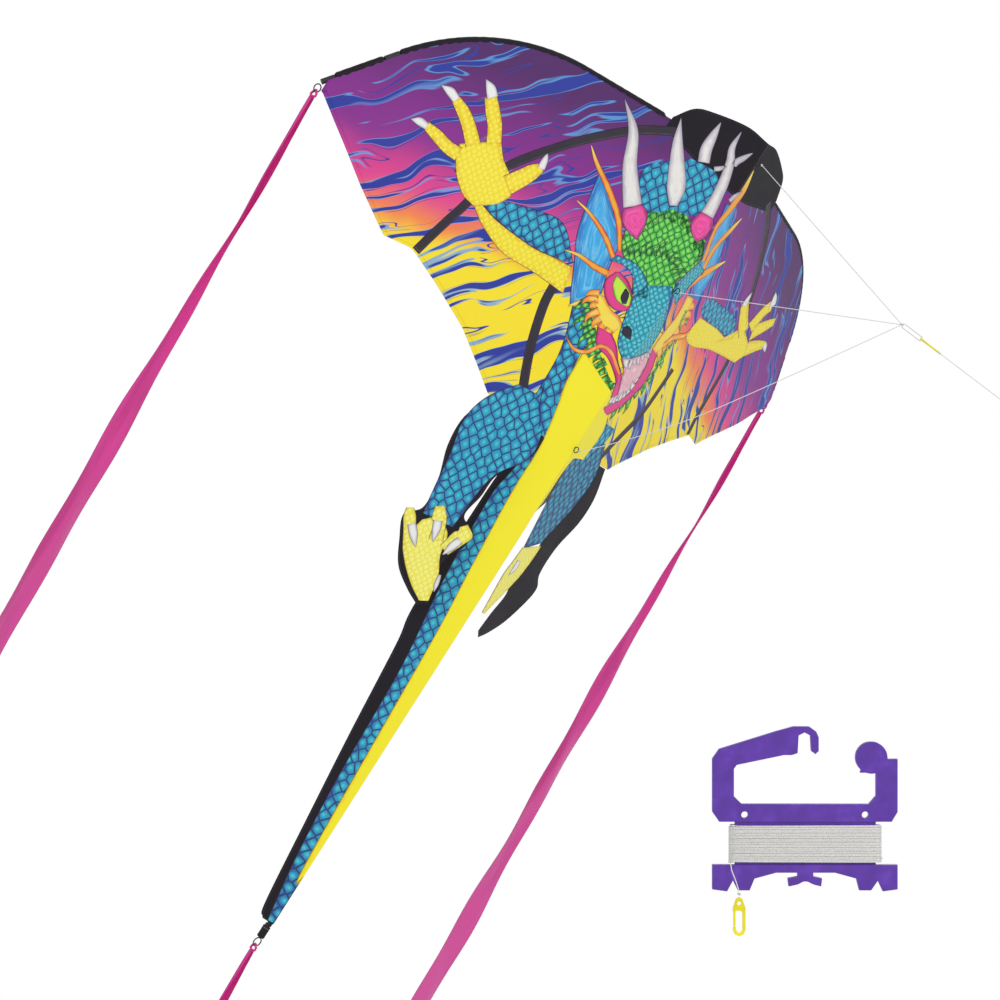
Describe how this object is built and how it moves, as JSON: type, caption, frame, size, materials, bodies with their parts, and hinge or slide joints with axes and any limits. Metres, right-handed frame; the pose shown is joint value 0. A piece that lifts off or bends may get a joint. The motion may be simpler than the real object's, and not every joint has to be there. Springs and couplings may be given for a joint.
{
  "type": "single-line dragon kite",
  "caption": "Swept-wing dragon kite with printed wings and long tail body, bridle, ribbon tails, line clip and a hand winder of line.",
  "frame": {"origin": "on the spine axis, level with the upper bridle tab on the ridge", "axes": "+Z along the spine towards the nose, +X towards the right wing as the flyer sees it, -Y forwards to the flyer"},
  "size_m": [1.3635, 1.5578, 2.2408],
  "materials": {
    "glassfibre_rod": "pultruded glass fibre rod, smooth",
    "ferrule": "drawn tube",
    "moulded_black": "moulded, slightly soft",
    "ridge_cloth": "ripstop polyester, printed",
    "black_cloth": "ripstop polyester, dyed black",
    "black_cord": "braided elastic cord",
    "black_webbing": "woven tape",
    "wing_cloth": "ripstop polyester, printed from purple through pink and peach to yellow",
    "leg_cloth": "ripstop polyester, printed with blue scales",
    "tail_cloth": "ripstop polyester, printed blue, yellow and black",
    "line": "braided white line",
    "clip_plastic": "moulded yellow plastic",
    "ribbon": "thin ribbon, pink",
    "winder_plastic": "moulded purple plastic"
  },
  "bodies": {
    "airframe": {"spine_rod_upper": "glassfibre_rod", "spine_rod_lower": "glassfibre_rod", "spine_ferrule": "ferrule", "spine_nose_cap": "moulded_black", "spine_tail_cap": "moulded_black", "spine_sleeve": "ridge_cloth", "spine_stop_rings": "moulded_black", "tail_pocket": "black_cloth", "tail_loop": "black_cord", "leg_panel_left": "leg_cloth", "leg_panel_right": "leg_cloth", "tail_panel_left": "tail_cloth", "tail_panel_right": "tail_cloth", "bridle_tab_upper": "black_webbing", "bridle_tab_middle": "black_webbing", "bridle_tab_lower": "black_webbing"},
    "wing_left": {"leading_rod_left": "glassfibre_rod", "edge_sleeve_left": "black_cloth", "tip_cap_left": "moulded_black", "edge_connector_left": "moulded_black", "spreader_rod_left": "glassfibre_rod", "spreader_socket_left": "moulded_black", "wing_panel_left": "wing_cloth", "nose_patch_left": "black_cloth", "rib_tape_outer_left": "black_cloth", "rib_tape_inner_left": "black_cloth", "tip_loop_left": "black_cord"},
    "wing_right": {"leading_rod_right": "glassfibre_rod", "edge_sleeve_right": "black_cloth", "tip_cap_right": "moulded_black", "edge_connector_right": "moulded_black", "spreader_rod_right": "glassfibre_rod", "spreader_socket_right": "moulded_black", "wing_panel_right": "wing_cloth", "nose_patch_right": "black_cloth", "rib_tape_outer_right": "black_cloth", "rib_tape_inner_right": "black_cloth", "tip_loop_right": "black_cord"},
    "bridle": {"bridle_leg_upper": "line", "bridle_leg_middle": "line", "bridle_leg_lower": "line", "bridle_knots": "line", "tow_loop": "line"},
    "tow_clip": {"tow_clip_body": "clip_plastic", "line_knots": "line", "flying_line": "line", "line_end_loop": "line"},
    "tow_gate": {"tow_clip_gate": "clip_plastic"},
    "ribbon_left_body": {"ribbon_knot_left": "ribbon", "ribbon_left": "ribbon"},
    "ribbon_right_body": {"ribbon_knot_right": "ribbon", "ribbon_right": "ribbon"},
    "ribbon_tail_body": {"ribbon_knot_tail": "ribbon", "ribbon_tail": "ribbon"},
    "winder": {"winder_frame": "winder_plastic", "wound_line": "line", "winder_line_end": "line"},
    "winder_clip": {"winder_line_knot": "line", "winder_clip_body": "clip_plastic"},
    "winder_gate": {"winder_clip_gate": "clip_plastic"}
  },
  "joints": [
    {"name": "wing_fold_left", "type": "hinge", "parent": "airframe", "child": "wing_left", "pos_m": [0, 0, -0.15], "axis": [0, 0, -1], "range_deg": [-12, 15]},
    {"name": "wing_fold_right", "type": "hinge", "parent": "airframe", "child": "wing_right", "pos_m": [0, 0, -0.15], "axis": [0, 0, 1], "range_deg": [-12, 15]},
    {"name": "bridle_swing", "type": "hinge", "parent": "airframe", "child": "bridle", "pos_m": [0, -0.0154, -0.116], "axis": [0, 0, 1], "range_deg": [-60, 60]},
    {"name": "clip_swing", "type": "hinge", "parent": "bridle", "child": "tow_clip", "pos_m": [0, -0.46138, -0.12236], "axis": [0, -0.133, 0.9911], "range_deg": [-50, 50]},
    {"name": "tow_gate_flex", "type": "hinge", "parent": "tow_clip", "child": "tow_gate", "pos_m": [0.0049, -0.4806, -0.12493], "axis": [0, -0.133, 0.9911], "range_deg": [0, 14], "stiffness_Nm_per_rad": 0.02},
    {"name": "ribbon_swing_left", "type": "hinge", "parent": "wing_left", "child": "ribbon_left_body", "pos_m": [-0.58151, 0.23495, -0.27724], "axis": [1, 0, 0], "range_deg": [-25, 75]},
    {"name": "ribbon_swing_right", "type": "hinge", "parent": "wing_right", "child": "ribbon_right_body", "pos_m": [0.58151, 0.23495, -0.27724], "axis": [1, 0, 0], "range_deg": [-25, 75]},
    {"name": "ribbon_swing_tail", "type": "hinge", "parent": "airframe", "child": "ribbon_tail_body", "pos_m": [0, 0, -1.397], "axis": [1, 0, 0], "range_deg": [-25, 75]},
    {"name": "winder_turn", "type": "hinge", "parent": "airframe", "child": "winder", "pos_m": [-0.679, -1.23, -0.699], "axis": [-0.3618, 0.397, 0.8435], "continuous": true},
    {"name": "winder_clip_swing", "type": "hinge", "parent": "winder", "child": "winder_clip", "pos_m": [-0.69822, -1.22513, -0.79869], "axis": [0.7068, 0.7068, -0.0295], "range_deg": [-35, 35]},
    {"name": "winder_gate_flex", "type": "hinge", "parent": "winder_clip", "child": "winder_gate", "pos_m": [-0.69461, -1.22948, -0.81667], "axis": [-0.7068, -0.7068, 0.0295], "range_deg": [0, 14], "stiffness_Nm_per_rad": 0.02}
  ]
}
